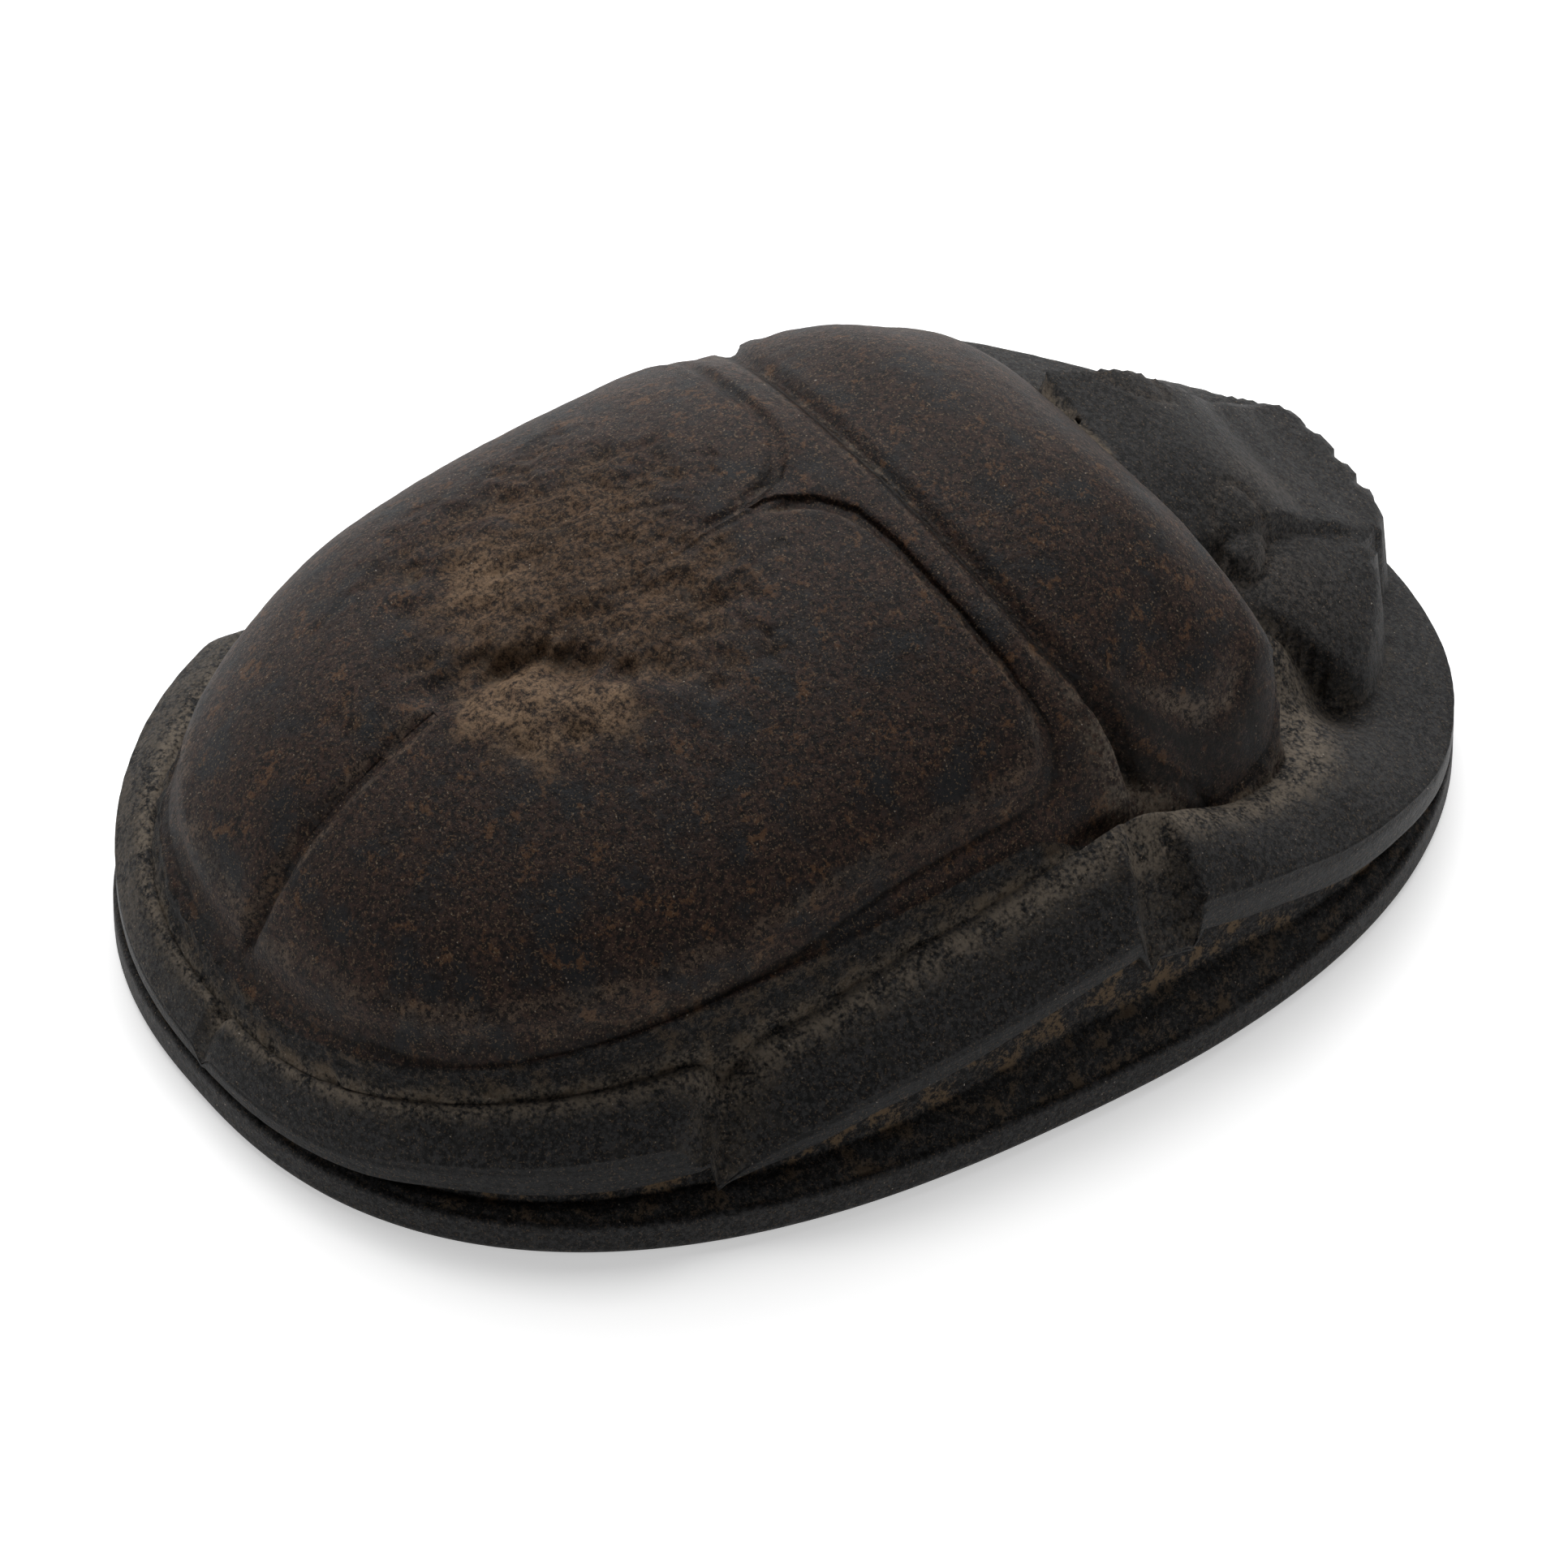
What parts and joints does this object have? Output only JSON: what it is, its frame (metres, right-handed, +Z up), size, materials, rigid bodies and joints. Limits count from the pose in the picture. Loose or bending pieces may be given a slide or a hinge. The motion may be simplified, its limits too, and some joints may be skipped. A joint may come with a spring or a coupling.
{
  "type": "scarab amulet",
  "caption": "Carved stone beetle amulet lying on an oval flat base, with a domed back, wing cases, folded legs and a notched head; rests on its plain underside.",
  "frame": {"origin": "middle of the flat underside, where the amulet rests", "axes": "+Y along the body towards the head, +X towards the beetle's right flank, +Z up out of the back"},
  "size_m": [0.0406, 0.056, 0.0195],
  "materials": {
    "stone": "worn matte dark stone"
  },
  "bodies": {
    "root": {"scarab": "stone"}
  },
  "joints": []
}
